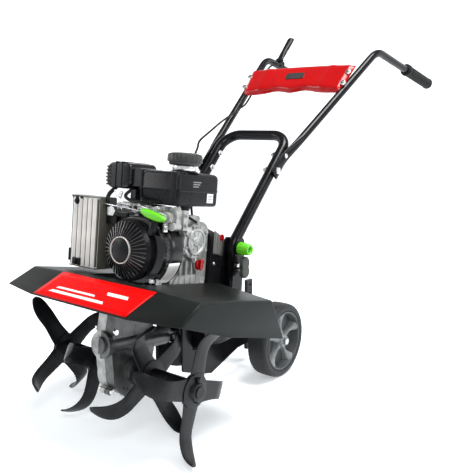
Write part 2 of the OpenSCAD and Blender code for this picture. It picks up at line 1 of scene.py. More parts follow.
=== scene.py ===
"""Looks for a front-tine tiller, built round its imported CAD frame.

Shapes are drawn in millimetres in one of two frames, as the CAD does: MACHINE has its origin on the tine
shaft and is pitched nose-up with the engine, and GROUND has y measured from the tine shaft and z from the
ground. Each finished piece rides on one of the frame's bodies.
"""
import json
import math

import bmesh
import bpy
from mathutils import Matrix, Vector


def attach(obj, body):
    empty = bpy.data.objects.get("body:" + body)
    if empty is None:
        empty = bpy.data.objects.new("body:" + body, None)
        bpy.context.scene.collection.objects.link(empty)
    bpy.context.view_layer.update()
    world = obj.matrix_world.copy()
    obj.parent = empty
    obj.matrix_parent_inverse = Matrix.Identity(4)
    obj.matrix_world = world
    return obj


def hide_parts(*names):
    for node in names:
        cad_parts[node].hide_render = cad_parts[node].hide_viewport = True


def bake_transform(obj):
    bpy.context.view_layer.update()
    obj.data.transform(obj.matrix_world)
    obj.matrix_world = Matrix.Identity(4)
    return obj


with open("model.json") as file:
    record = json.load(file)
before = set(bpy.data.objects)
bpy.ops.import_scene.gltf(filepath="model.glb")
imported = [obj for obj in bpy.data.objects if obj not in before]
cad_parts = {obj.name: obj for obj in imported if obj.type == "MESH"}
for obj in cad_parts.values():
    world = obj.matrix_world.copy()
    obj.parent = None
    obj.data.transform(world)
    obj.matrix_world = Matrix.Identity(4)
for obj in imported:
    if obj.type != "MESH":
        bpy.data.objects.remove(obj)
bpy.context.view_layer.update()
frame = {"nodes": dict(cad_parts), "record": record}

JOINTS = {joint["name"]: joint for joint in frame["record"]["behaviour"]["joints"]}
SHAFT = Vector(JOINTS["tine_spin"]["pos_m"])
CRANK_AXIS = Vector(JOINTS["crank_spin"]["axis"])
PITCH = math.atan2(-CRANK_AXIS.z, CRANK_AXIS.y)
MILLIMETRE = 0.001
MM = Matrix.Scale(MILLIMETRE, 4)
MACHINE = Matrix.Translation(SHAFT) @ Matrix.Rotation(-PITCH, 4, "X") @ MM
GROUND = Matrix.Translation((0, SHAFT.y, 0)) @ MM
SIDES = (("left", GROUND), ("right", GROUND @ Matrix.Scale(-1, 4, (1, 0, 0))))
CRANK_Z = 270


# ------------------------------------------------------------------ camera, lights and world
def add_camera():
    data = bpy.data.cameras.new("camera")
    data.sensor_width = 36
    data.lens = 47.17
    data.shift_x = 0.0239
    data.shift_y = -0.0032
    camera = bpy.data.objects.new("camera", data)
    camera.location = GROUND @ Vector((976, -927, 689))
    camera.rotation_euler = (math.radians(90 - 10.38), math.radians(0.1), math.radians(37.7))
    bpy.context.collection.objects.link(camera)
    bpy.context.scene.camera = camera


add_camera()


def add_light(name, place, target, size, power, colour=(1, 1, 1)):
    data = bpy.data.lights.new(name, "AREA")
    data.shape = "DISK"
    data.size = size
    data.energy = power
    data.color = colour
    lamp = bpy.data.objects.new(name, data)
    lamp.location = place
    lamp.rotation_euler = (Vector(target) - Vector(place)).to_track_quat("-Z", "Y").to_euler()
    bpy.context.collection.objects.link(lamp)


def add_world():
    world = bpy.data.worlds.new("world")
    world.use_nodes = True
    background = world.node_tree.nodes["Background"]
    background.inputs["Color"].default_value = (1, 1, 1, 1)
    background.inputs["Strength"].default_value = 0.26
    bpy.context.scene.world = world
    bpy.context.scene.view_settings.view_transform = "Standard"


# ------------------------------------------------------------------ materials
def finish_of(name, colour, rough, metal=0.0, tone=0.15, patch=18, grain=900, bump=0.15, spread=0.08,
              coat=0.0, specular=0.5):
    """A surface with slow colour and gloss variation and a fine grain in its bump."""
    material = bpy.data.materials.new(name)
    material.use_nodes = True
    nodes, links = material.node_tree.nodes, material.node_tree.links
    shader = nodes["Principled BSDF"]
    shader.inputs["Metallic"].default_value = metal
    shader.inputs["Coat Weight"].default_value = coat
    shader.inputs["Coat Roughness"].default_value = 0.12
    shader.inputs["Specular IOR Level"].default_value = specular
    coords = nodes.new("ShaderNodeTexCoord")
    slow = nodes.new("ShaderNodeTexNoise")
    slow.inputs["Scale"].default_value = patch
    slow.inputs["Detail"].default_value = 5
    links.new(coords.outputs["Object"], slow.inputs["Vector"])
    ramp = nodes.new("ShaderNodeValToRGB")
    ramp.color_ramp.elements[0].position = 0.3
    ramp.color_ramp.elements[1].position = 0.72
    ramp.color_ramp.elements[0].color = [c * (1 - tone) for c in colour] + [1]
    ramp.color_ramp.elements[1].color = [min(1, c * (1 + tone)) for c in colour] + [1]
    links.new(slow.outputs["Fac"], ramp.inputs["Fac"])
    links.new(ramp.outputs["Color"], shader.inputs["Base Color"])
    gloss = nodes.new("ShaderNodeMapRange")
    gloss.inputs["To Min"].default_value = max(0.03, rough - spread)
    gloss.inputs["To Max"].default_value = min(1, rough + spread)
    links.new(slow.outputs["Fac"], gloss.inputs["Value"])
    links.new(gloss.outputs["Result"], shader.inputs["Roughness"])
    fine = nodes.new("ShaderNodeTexNoise")
    fine.inputs["Scale"].default_value = grain
    fine.inputs["Detail"].default_value = 3
    links.new(coords.outputs["Object"], fine.inputs["Vector"])
    height = nodes.new("ShaderNodeBump")
    height.inputs["Strength"].default_value = bump
    height.inputs["Distance"].default_value = 0.0006
    links.new(fine.outputs["Fac"], height.inputs["Height"])
    links.new(height.outputs["Normal"], shader.inputs["Normal"])
    return material


M = {
    "tine": finish_of("tine_paint", (0.007, 0.007, 0.008), 0.34, tone=0.5, patch=30, bump=0.1, spread=0.12,
                      specular=0.22),
    "frame": finish_of("frame_paint", (0.004, 0.004, 0.005), 0.24, tone=0.3, grain=500, bump=0.05,
                       coat=0.07, specular=0.15),
    "hood": finish_of("hood_paint", (0.010, 0.012, 0.011), 0.40, tone=0.12, patch=9, grain=1400, bump=0.22,
                      specular=0.09),
    "red_paint": finish_of("red_film", (0.62, 0.003, 0.003), 0.3, tone=0.04, bump=0.03, specular=0.04),
    "red": finish_of("red_plastic", (0.34, 0.001, 0.002), 0.2, tone=0.1, patch=14, bump=0.04, coat=0.15,
                     specular=0.25),
    "green": finish_of("green_plastic", (0.10, 0.48, 0.01), 0.38, tone=0.08, grain=700, bump=0.12),
    "cast": finish_of("cast_alloy", (0.38, 0.38, 0.37), 0.42, metal=0.7, tone=0.4, patch=55, grain=420,
                      bump=0.5, spread=0.14),
    "bright": finish_of("zinc_steel", (0.70, 0.70, 0.70), 0.26, metal=1.0, tone=0.2, patch=120, grain=800,
                        bump=0.12, spread=0.12),
    "steel": finish_of("machined_steel", (0.45, 0.45, 0.46), 0.32, metal=1.0, tone=0.2, patch=60, bump=0.15),
    "bronze": finish_of("bronze", (0.55, 0.36, 0.13), 0.35, metal=1.0),
    "plastic": finish_of("engine_plastic", (0.006, 0.006, 0.007), 0.33, tone=0.3, grain=1100, bump=0.2,
                         spread=0.1, coat=0.06, specular=0.13),
    "gloss": finish_of("gloss_plastic", (0.006, 0.006, 0.007), 0.2, tone=0.3, grain=1300, bump=0.08,
                       spread=0.07, coat=0.3, specular=0.28),
    # A lighter copy of the engine plastic: painted highlight on the starter's fins. Its heavy coat gives real
    # gloss.
    "fins": finish_of("fin_plastic_painted_highlight", (0.016, 0.016, 0.017), 0.2, tone=0.3, grain=1300, bump=0.08, coat=0.6),
    "tank": finish_of("tank_plastic", (0.006, 0.006, 0.007), 0.27, tone=0.3, grain=1300, bump=0.12,
                      coat=0.04, specular=0.14),
    "cap": finish_of("cap_plastic", (0.03, 0.03, 0.03), 0.34, tone=0.2, grain=900, bump=0.15, specular=0.3),
    "silver": finish_of("guard_paint", (0.66, 0.64, 0.61), 0.32, metal=0.45, tone=0.12, patch=22, bump=0.1),
    # A darker copy of the cast alloy: painted shade standing in for the dark reflections on the gearbox's
    # left half.
    "cast_painted_shade": finish_of("cast_painted_shade", (0.09, 0.09, 0.09), 0.3, metal=0.5, tone=0.4, patch=40, grain=420,
                           bump=0.5, spread=0.12),
    # Painted shade: a dark finish for the strips set down the guard's flute grooves.
    "groove_shade": finish_of("guard_groove_painted_shade", (0.09, 0.085, 0.075), 0.5, metal=0.3, tone=0.2),
    # A lighter copy of the hub plastic: painted light on the wheel's spokes and boss.
    "star": finish_of("hub_star_painted_light", (0.15, 0.16, 0.16), 0.36, tone=0.12, grain=900, bump=0.15),
    # A dark copy of the guard's metal: painted shade on the guard's returned sides, top and bottom. The
    # muffler uses it too.
    "shade": finish_of("dark_metal_and_painted_shade", (0.10, 0.10, 0.085), 0.45, metal=0.3, tone=0.2, patch=26, bump=0.15),
    "rubber": finish_of("rubber", (0.007, 0.007, 0.007), 0.62, tone=0.3, grain=1200, bump=0.35, specular=0.2),
    "tyre": finish_of("tyre_rubber", (0.017, 0.018, 0.019), 0.55, tone=0.3, patch=34, grain=800, bump=0.4,
                      specular=0.22),
    "hub": finish_of("hub_plastic", (0.055, 0.058, 0.06), 0.42, tone=0.15, grain=1000, bump=0.2,
                     specular=0.25),
    "knob": finish_of("knob_plastic", (0.05, 0.055, 0.048), 0.48, tone=0.15, grain=900, bump=0.25,
                      specular=0.25),
    "label": finish_of("label_white", (0.80, 0.78, 0.78), 0.4, tone=0.03, bump=0.02),
    "ink": finish_of("label_ink", (0.16, 0.16, 0.17), 0.5, tone=0.05, bump=0.02),
    "plate": finish_of("label_grey", (0.20, 0.20, 0.19), 0.38, metal=0.3, tone=0.12, bump=0.08),
}
OF_SLOT = {
    "tine_steel": "tine", "frame_black": "frame", "hood_grey": "hood", "cast_case": "cast", "steel": "steel",
    "bronze": "bronze", "rubber": "rubber", "tyre": "tyre", "hub_grey": "hub", "engine_black": "plastic",
    "tank_black": "tank", "cap_grey": "cap", "guard_silver": "silver", "red_plastic": "red",
    "green_plastic": "green", "knob_grey": "knob",
}


# ------------------------------------------------------------------ shapes
def unit(v):
    return Vector(v).normalized()


def smooth_path(points, steps=8):
    """A Catmull-Rom curve through the points."""
    p = [Vector(q) for q in points]
    p = [2 * p[0] - p[1]] + p + [2 * p[-1] - p[-2]]
    out = []
    for a, b, c, d in zip(p, p[1:], p[2:], p[3:]):
        for k in range(steps):
            t = k / steps
            out.append(0.5 * (2 * b + (c - a) * t + (2 * a - 5 * b + 4 * c - d) * t * t
                              + (3 * b - a - 3 * c + d) * t ** 3))
    return out + [p[-2]]


def bent_path(points, radius, steps=10):
    """Straight lengths joined by arcs of one radius."""
    p = [Vector(q) for q in points]
    out = [p[0]]
    for a, b, c in zip(p, p[1:], p[2:]):
        u, w = unit(b - a), unit(c - b)
        turn = u.angle(w)
        reach = radius * math.tan(turn / 2)
        centre = b - u * reach + unit(w - u * u.dot(w)) * radius
        axis = unit(u.cross(w))
        arm = (b - u * reach) - centre
        out += [centre + Matrix.Rotation(turn * k / steps, 3, axis) @ arm for k in range(steps + 1)]
    return out + [p[-1]]


def round_rect(x0, x1, y0, y1, r, steps=6):
    out = []
    corners = ((x1 - r, y1 - r, 0), (x0 + r, y1 - r, 90), (x0 + r, y0 + r, 180), (x1 - r, y0 + r, 270))
    for cx, cy, start in corners:
        for k in range(steps + 1):
            a = math.radians(start + 90 * k / steps)
            out.append((cx + r * math.cos(a), cy + r * math.sin(a)))
    return out


def circle(cx, cy, r, n=24):
    turns = [2 * math.pi * k / n for k in range(n)]
    return [(cx + r * math.cos(a), cy + r * math.sin(a)) for a in turns]


def grid_faces(rows, columns):
    """Quads over a grid whose points run along each row in turn."""
    width = columns + 1
    return [[r * width + c, r * width + c + 1, (r + 1) * width + c + 1, (r + 1) * width + c]
            for r in range(rows) for c in range(columns)]


AXES = {
    "x": lambda a, b, t: (t, a, b),
    "y": lambda a, b, t: (a, t, b),
    "z": lambda a, b, t: (a, b, t),
}


class Shape:
    """Vertices and faces in millimetres, gathered from simple solids."""

    def __init__(self):
        self.verts = []
        self.faces = []

    def add(self, verts, faces):
        base = len(self.verts)
        self.verts += [Vector(v) for v in verts]
        self.faces += [[base + i for i in face] for face in faces]
        return self

    def rings(self, rings, closed=False, caps=True):
        """Skins a list of equal rings of points."""
        n = len(rings[0])
        faces = []
        for i in range(len(rings) - (0 if closed else 1)):
            j = (i + 1) % len(rings)
            for k in range(n):
                m = (k + 1) % n
                faces.append([i * n + k, i * n + m, j * n + m, j * n + k])
        if caps and not closed:
            faces.append(list(range(n))[::-1])
            faces.append([(len(rings) - 1) * n + k for k in range(n)])
        return self.add([p for ring in rings for p in ring], faces)

    def prism(self, outline, t0, t1, axis="z"):
        return self.rings([[AXES[axis](a, b, t) for a, b in outline] for t in (t0, t1)])

    def loft(self, outlines, axis="z"):
        """Outlines with the same number of points, each given with its place along the axis."""
        return self.rings([[AXES[axis](a, b, t) for a, b in outline] for outline, t in outlines])

    def box(self, x0, x1, y0, y1, z0, z1):
        return self.prism([(x0, y0), (x1, y0), (x1, y1), (x0, y1)], z0, z1)

    def disc(self, a, b, r, t0, t1, axis="y", n=24):
        return self.prism(circle(a, b, r, n), t0, t1, axis)

    def lathe(self, profile, a, b, axis="y", n=48):
        """Turns (radius, place) pairs about the axis through a, b; the profile is a closed loop."""
        rings = [[AXES[axis](a + r * math.cos(2 * math.pi * k / n), b + r * math.sin(2 * math.pi * k / n), t)
                  for r, t in profile] for k in range(n)]
        return self.rings(rings, closed=True)

    def sweep(self, path, radius, n=12):
        """A round bar along a path; radius is a number or a function of the way along, from 0 to 1."""
        p = [Vector(q) for q in path]
        tangents = [unit(p[min(i + 1, len(p) - 1)] - p[max(i - 1, 0)]) for i in range(len(p))]
        side = unit(tangents[0].orthogonal())
        rings = []
        for i, (q, t) in enumerate(zip(p, tangents)):
            side = unit(side - t * side.dot(t))
            up = t.cross(side)
            r = radius(i / (len(p) - 1)) if callable(radius) else radius
            rings.append([q + r * (math.cos(2 * math.pi * k / n) * side + math.sin(2 * math.pi * k / n) * up)
                          for k in range(n)])
        return self.rings(rings)

    def bolt(self, place, axis="x", way=1, size=6.5, height=5):
        """A flanged hexagon head; place is the seat of its flange."""
        x, y, z = place
        a, b, t = {"x": (y, z, x), "y": (x, z, y), "z": (x, y, z)}[axis]
        ends = sorted((t, t + way * 1.5))
        self.disc(a, b, size * 1.3, ends[0], ends[1], axis, 20)
        ends = sorted((t + way * 1.5, t + way * height))
        return self.disc(a, b, size, ends[0], ends[1], axis, 6)

    def turned(self, matrix, other):
        """Adds another shape moved by a matrix."""
        return self.add([matrix @ v for v in other.verts], other.faces)

    def mirrored(self):
        """Adds a copy of the shape on the other side of the middle."""
        return self.add([Vector((-v.x, v.y, v.z)) for v in self.verts], [f[::-1] for f in self.faces])


def piece(name, shape, finish, body="machine", place=MACHINE, bevel=0.0, segments=2, subdivide=0, thick=0.0,
          sharp=35, replaces=()):
    """One object from a shape, with its finish, riding on a body."""
    mesh = bpy.data.meshes.new(name)
    mesh.from_pydata([place @ v for v in shape.verts], [], shape.faces)
    work = bmesh.new()
    work.from_mesh(mesh)
    bmesh.ops.remove_doubles(work, verts=work.verts, dist=1e-6)
    bmesh.ops.recalc_face_normals(work, faces=work.faces)
    work.to_mesh(mesh)
    work.free()
    mesh.polygons.foreach_set("use_smooth", [True] * len(mesh.polygons))
    mesh.set_sharp_from_angle(angle=math.radians(sharp))
    mesh.materials.append(M[finish])
    thing = bpy.data.objects.new(name, mesh)
    bpy.context.collection.objects.link(thing)
    if bevel:
        edge = thing.modifiers.new("edge", "BEVEL")
        edge.width = bevel * MILLIMETRE
        edge.segments = segments
        edge.limit_method = "ANGLE"
        edge.angle_limit = math.radians(sharp)
        edge.harden_normals = not thick
    if thick:
        sheet = thing.modifiers.new("sheet", "SOLIDIFY")
        sheet.thickness = thick * MILLIMETRE
        sheet.offset = 0
    if subdivide:
        soft = thing.modifiers.new("soft", "SUBSURF")
        soft.levels = soft.render_levels = subdivide
    if body:
        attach(thing, body)
    if replaces:
        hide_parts(*replaces)
    return thing


# ------------------------------------------------------------------ tines
TINE_R = 140
BLADE_BEND_R = 62
BLADE_BEND = math.radians(80)
BLADE_STRAIGHT = TINE_R - BLADE_BEND_R * math.sin(BLADE_BEND)
BLADE_REACH = 0.98  # keeps the tips inside the CAD's box


def blade_shape(stations=26, strips=6):
    """One blade pointing up from the shaft, its outer end bent towards +x and drawn to a trailing point."""
    thickness, root, taper = 5, 8, 62
    bend_length = BLADE_BEND_R * BLADE_BEND
    length = BLADE_STRAIGHT + bend_length
    rings = []
    for i in range(stations + 1):
        s = root + (length - root) * i / stations
        over = max(0, s - BLADE_STRAIGHT) / BLADE_BEND_R
        x = BLADE_BEND_R * (1 - math.cos(over))
        z = BLADE_REACH * (min(s, BLADE_STRAIGHT) + BLADE_BEND_R * math.sin(over))
        normal = Vector((math.cos(over), 0, -math.sin(over)))
        tip = max(0, (s - (length - taper)) / taper)
        waist = math.sin(math.pi * min(1, max(0, (s - 30) / (length - 45))))
        lead = -24 + 30 * tip ** 2.2
        trail = 24 - 9 * waist - 5 * tip ** 3
        ring = []
        for side in (1, -1):
            for k in range(strips + 1):
                v = k / strips if side > 0 else 1 - k / strips
                edge = 1 - 0.55 * abs(2 * v - 1) ** 6
                ring.append(Vector((x, lead + (trail - lead) * v, z)) + normal * side * thickness / 2 * edge)
        rings.append(ring)
    return Shape().rings(rings)


def tine_set(name, x, x0, x1, phase, turn):
    shape = Shape()
    blade = blade_shape()
    for i in range(4):
        spin = Matrix.Rotation(math.radians(90 - phase - 90 * i), 4, "X")
        flip = Matrix.Scale(-1, 4, (1, 0, 0)) if (i + turn) % 2 else Matrix.Identity(4)
        shape.turned(Matrix.Translation((x, 0, 0)) @ spin @ flip, blade)
    shape.lathe([(12.7, x0), (12.7, x1), (18.6, x1), (20, x1 - 1.5), (20, x0 + 1.5), (18.6, x0)], 0, 0, "x")
    shape.lathe([(19, x - 7.5), (19, x + 7.5), (24, x + 6), (37, x + 4.6), (37, x - 4.6), (24, x - 6)],
                0, 0, "x")
    piece(name, shape, "tine", "tines", replaces=(name,), sharp=50)


tine_set("tine_outer_left", 204, 141, 219, 15, 1)
tine_set("tine_inner_left", 84, 47, 140, 60, 0)
tine_set("tine_inner_right", -84, -140, -47, 20, 0)
tine_set("tine_outer_right", -204, -219, -141, 57, 1)


# ------------------------------------------------------------------ hood
PANEL_W = 148


def hood_shape():
    """The hood's folded sheet: a sloping nose, a nearly flat top, outer skirts and an engine cut-out."""
    half = [
        (0, -154, 160), (PANEL_W, -154, 160), (265, -131, 163),
        (0, -66, 204), (PANEL_W, -66, 203), (259, -66, 200),
        (0, -44, 205), (86, -44, 204.5), (257, 76, 189),
        (86, 204, 190), (122, 204, 189), (259, 190, 178),
        (122, 247, 120), (263, 247, 84), (265, 21, 122),
    ]
    faces = [(0, 1, 4, 3), (1, 2, 5, 4), (3, 4, 7, 6), (4, 5, 8, 7), (7, 8, 11, 10, 9), (10, 11, 13, 12),
             (2, 14, 8, 5), (14, 13, 11, 8)]
    shape = Shape().add(half, faces)
    return shape.mirrored()


piece("hood_sheet", hood_shape(), "hood", thick=2.4, bevel=11, segments=6, sharp=8, replaces=("hood",))


def on_nose(x, along):
    """A point just above the hood's nose; along runs from 0 at its lower edge to 1 at its fold."""
    low, high = Vector((x, -154, 160)), Vector((x, -66, 203.6))
    lift = unit((0, -(high.z - low.z), high.y - low.y))
    return low.lerp(high, along) + lift * 1.75


def nose_film():
    columns = [-PANEL_W + 2 + k * (2 * PANEL_W - 4) / 24 for k in range(25)]
    rows = [0.03 + 0.94 * k / 6 for k in range(7)]
    grid = [on_nose(x * (1 - 0.02 * (1 - t)), t) for t in rows for x in columns]
    return Shape().add(grid, grid_faces(6, 24))


piece("hood_film", nose_film(), "red_paint", thick=0.5)


def nose_stripe(points):
    """A flat outline on the red film, given as (x, way up the nose) pairs."""
    lift = unit((0, -43.6, 88)) * 0.5
    low = [on_nose(x, t) for x, t in points]
    return Shape().rings([low, [p + lift for p in low]])


piece("hood_stripe", nose_stripe([(-112, 0.22), (60, 0.22), (54, 0.30), (-106, 0.30)]), "label")
piece("hood_stripe_short", nose_stripe([(-104, 0.38), (20, 0.38), (15, 0.44), (-99, 0.44)]), "label")
piece("hood_flash", nose_stripe([(44, 0.52), (104, 0.52), (98, 0.62), (38, 0.62)]), "label")


# ------------------------------------------------------------------ wheels
WHEEL_R = 101.5
WHEEL_W = 56
WHEEL_FACE = 143
WHEEL_WEB = WHEEL_FACE - 24
AXLE_Y = 460


def tyre_shape(n=104):
    """A narrow tyre with a shallow crown and fine cross ribs in its tread."""
    x0, x1 = WHEEL_FACE - WHEEL_W, WHEEL_FACE
    middle = (x0 + x1) / 2
    half = WHEEL_W / 2
    profile = [(80.2, -half + 3), (84, -half + 0.4), (93, -half), (98.5, -half + 2.2), (100.6, -half + 7),
               (101.2, -half * 0.5), (101.45, 0)]
    profile += [(r, -t) for r, t in reversed(profile[:-1])]
    rings = []
    for k in range(n):
        a = 2 * math.pi * k / n
        rib = 1.3 if k % 2 else 0
        ring = []
        for r, t in profile:
            reach = r - (rib if r > 98 else 0)
            ring.append((middle + t, AXLE_Y + reach * math.cos(a), WHEEL_R + reach * math.sin(a)))
        rings.append(ring)
    return Shape().rings(rings, closed=True)


def hub_shape():
    """A deep moulded wheel: its rim, its centre tube and the dish behind the spokes."""
    x0, x1 = WHEEL_FACE - WHEEL_W, WHEEL_FACE
    web = WHEEL_WEB
    shape = Shape()
    shape.lathe([(80, x0 + 1), (80, x1 - 1), (77, x1 + 0.4), (74.5, x1 - 2), (73, web + 3), (72.4, web),
                 (72.4, web - 6), (74, x0 + 4), (76, x0 + 1)], AXLE_Y, WHEEL_R, "x", 72)
    shape.lathe([(6.2, x0 + 2), (6.2, x1 + 0.5), (12, x1 + 0.5), (14.5, x1 - 2), (17, web), (17, x0 + 4)],
                AXLE_Y, WHEEL_R, "x", 40)
    shape.lathe([(15, web - 5), (15, web - 1), (73, web - 1), (73, web - 5)], AXLE_Y, WHEEL_R, "x", 72)
    return shape


def star_shape():
    """The wheel's centre boss and its five spokes, in a lighter copy of the hub plastic: painted light on the
    spokes, which stand out from the darker dish behind them.
    """
    x1, web = WHEEL_FACE, WHEEL_WEB
    boss = [(6.3, x1 - 6), (6.3, x1 + 1), (15, x1 + 0.6), (17, x1 - 2), (18, web)]
    shape = Shape().lathe(boss, AXLE_Y, WHEEL_R, "x", 40)
    for i in range(5):
        angle = math.radians(72 * i + 18)
        rings = []
        for k in range(9):
            t = k / 8
            r = 10 + 66 * t
            wide = 11 - 5.5 * math.sin(math.pi * min(1, t * 1.1)) + 7 * max(0, t - 0.7) * 3.3
            top = x1 - 3 - 9 * math.sin(math.pi * t) + (2 if t > 0.9 else 0)
            section = [(-wide, web - 2), (-wide * 0.72, top - 3), (-wide * 0.3, top), (wide * 0.3, top),
                       (wide * 0.72, top - 3), (wide, web - 2)]
            rings.append([(x, AXLE_Y + r * math.cos(angle) - w * math.sin(angle),
                           WHEEL_R + r * math.sin(angle) + w * math.cos(angle)) for w, x in section])
        shape.rings(rings)
    return shape


for word, mirror in SIDES:
    piece("tyre_" + word, tyre_shape(), "tyre", "wheel_" + word, mirror, replaces=("tyre_" + word,), sharp=60)
    piece("hub_" + word, hub_shape(), "hub", "wheel_" + word, mirror, bevel=0.8, replaces=("wheel_" + word,))
    piece("star_" + word, star_shape(), "star", "wheel_" + word, mirror, bevel=0.8)
    cap = Shape().lathe([(0.01, WHEEL_FACE + 8.4), (5, WHEEL_FACE + 8), (9, WHEEL_FACE + 5.5),
                         (9.4, WHEEL_FACE + 2.5), (0.01, WHEEL_FACE + 2.5)], AXLE_Y, WHEEL_R, "x", 28)
    piece("axle_cap_" + word, cap, "bright", "machine", mirror)


# ------------------------------------------------------------------ engine: blower, starter and guard
def stadium(r, reach=22, n=40):
    """A round outline about the crankshaft, stretched towards +x."""
    out = []
    for k in range(n + 1):
        a = -math.pi / 2 + math.pi * k / n
        out.append((reach + r * math.cos(a), CRANK_Z + r * math.sin(a)))
    for k in range(n + 1):
        a = math.pi / 2 + math.pi * k / n
        out.append((r * math.cos(a), CRANK_Z + r * math.sin(a)))
    return out


blower = Shape()
blower.loft([(stadium(66), -1), (stadium(73), 0), (stadium(76), 4), (stadium(76.5), 16), (stadium(74), 18),
             (stadium(74), 21), (stadium(78), 24), (stadium(80), 30), (stadium(80), 57)], "y")
piece("blower_shroud", blower, "gloss", bevel=0.8, replaces=("blower_housing",), sharp=30)
vents = Shape()
for k in range(7):
    vents.box(98.2, 99.2, 6, 10, 238 + 9 * k, 243 + 9 * k)
piece("blower_vents", vents, "cap")
clips = Shape().box(84, 90, 2, 14, 318, 336).box(76, 88, 2, 8, 196, 214).box(60, 74, -3, 1, 204, 212)
clips.bolt((90, 8, 327), "x", 1, 4, 4).bolt((67, -3, 208), "y", -1, 4, 4)
piece("blower_clips", clips, "bright", bevel=0.6)

starter = Shape()
starter.lathe([(28, -33.5), (34, -33.2), (60, -19), (66, -12), (69, -8), (70, -1), (30, -1)],
              0, CRANK_Z, "y", 96)
fins = Shape()
FINS = 38
for k in range(FINS):
    fin = Shape()
    fin.prism([(32, -0.9), (64, -1.7), (64, 1.7), (32, 0.9)], 0, 1)
    out = []
    for v in fin.verts:
        depth = -33.4 + 15.4 * (v.x - 32) / 32
        out.append(Vector((v.x, depth - (3.4 if v.z < 0.5 else -2), v.y)))
    fin.verts = out
    spin = Matrix.Translation((0, 0, CRANK_Z)) @ Matrix.Rotation(2 * math.pi * k / FINS, 4, "Y")
    fins.turned(spin, fin)
starter.lathe([(62, -20.5), (66.5, -16), (70, -12), (70, -6), (66, -10), (62, -14)], 0, CRANK_Z, "y", 96)
piece("starter_grille", starter, "plastic", bevel=0.35, replaces=("starter_cover",), sharp=30)
# The fins take a lighter copy of the engine plastic as a painted highlight.
piece("starter_fins", fins, "fins", bevel=0.5, sharp=30)
badge = Shape().lathe([(0.01, -37), (25, -37), (27.5, -35.8), (27.5, -33), (0.01, -33)], 0, CRANK_Z, "y", 64)
piece("starter_badge", badge, "tank")
ring = Shape().lathe([(28, -35), (28.2, -38.2), (29.9, -38.4), (30.1, -34)], 0, CRANK_Z, "y", 72)
piece("starter_ring", ring, "silver", bevel=0.3)
ROPE_LEAN = math.radians(12)
guide = Shape().lathe([(3.4, 40), (3.4, 71), (7.6, 71), (9, 69), (9, 44), (7, 40)], 0, 0, "z", 28)
tilt = Matrix.Translation((58, -11, CRANK_Z)) @ Matrix.Rotation(ROPE_LEAN, 4, "Y")
rope_guide = Shape().turned(tilt, guide)
piece("rope_guide", rope_guide, "plastic", bevel=0.5)


def handle_shape():
    """A T handle: a long lens with a flat back, drawn as rings along x."""
    rings = []
    for k in range(23):
        t = -1 + 2 * k / 22
        r = math.sqrt(max(0.0, 1 - abs(t) ** 2.6)) + 0.02
        flat = 2.5 * (1 - t * t)
        rings.append([(39 * t, 9.5 * r * math.cos(a), 8.2 * r * math.sin(a) - flat * (math.sin(a) < 0))
                      for a in [2 * math.pi * j / 24 for j in range(24)]])
    return Shape().rings(rings)


grip_place = Matrix.Translation((67, -11, CRANK_Z + 83)) @ Matrix.Rotation(ROPE_LEAN, 4, "Y")
piece("starter_handle", Shape().turned(grip_place, handle_shape()), "green", "pull_handle", subdivide=1,
      replaces=("pull_handle",), sharp=80)
rope = Shape().sweep([tilt @ Vector((0, 0, z)) for z in (48, 60, 72, 82)], 2, 10)
piece("starter_rope", rope, "rubber", "pull_handle")


def guard_front():
    """The muffler guard's face: five upright flutes pressed into a sheet, with returned edges."""
    x0, x1, flutes = -190, -98, 5
    pitch = (x1 - x0 - 8) / flutes
    front = [(x0, 18), (x0, -10)]
    for i in range(flutes):
        for k in range(11):
            t = k / 10
            front.append((x0 + 4 + pitch * (i + t), -14.5 - 7 * math.sin(math.pi * t) ** 0.75))
    front += [(x1, -10), (x1, 18)]
    back = [(x, min(y + 1.6, 18)) for x, y in reversed(front[1:-1])]
    back = [(x1 - 1.6, 18), (x1 - 1.6, -8.5)] + back[1:-1] + [(x0 + 1.6, -8.5), (x0 + 1.6, 18)]
    return Shape().prism(front + back, 214, 376, "z")


piece("guard_face", guard_front(), "silver", replaces=("muffler_guard",), sharp=40)
# Dark strips down the flute grooves: painted shade that deepens the grooves.
groove_shade_strips = Shape()
for k in range(6):
    groove_shade_strips.box(-186 + 16.8 * k - 2.2, -186 + 16.8 * k + 2.2, -17.2, -13, 216, 374)
piece("guard_groove_shade_strips", groove_shade_strips, "groove_shade", bevel=0.5)
# The guard's sides, top and bottom take the dark finish as painted shade. The sheet is the same metal as its
# face.
surround = Shape().prism(round_rect(-14, 38, 212, 380, 6), -97.9, -96.4, "x")
surround.prism(round_rect(-14, 38, 212, 380, 6), -191.6, -190.1, "x")
surround.prism(round_rect(-192, -96, -21, 38, 3), 376.5, 379.5, "z")
surround.prism(round_rect(-192, -96, -19, 38, 3), 211, 213.5, "z")
piece("guard_frame", surround, "shade", bevel=0.5)
tabs = Shape().box(-194, -188, -19, -6, 222, 252).box(-172, -146, -25, -20, 216, 232)
tabs.bolt((-159, -25, 224), "y", -1, 5.5, 6).bolt((-168, -22, 366), "y", -1, 5, 5)
tabs.disc(-168, 366, 8, -23, -20, "y").box(-186, -150, -21, -14, 372, 379)
piece("guard_tabs", tabs, "plastic", bevel=1)


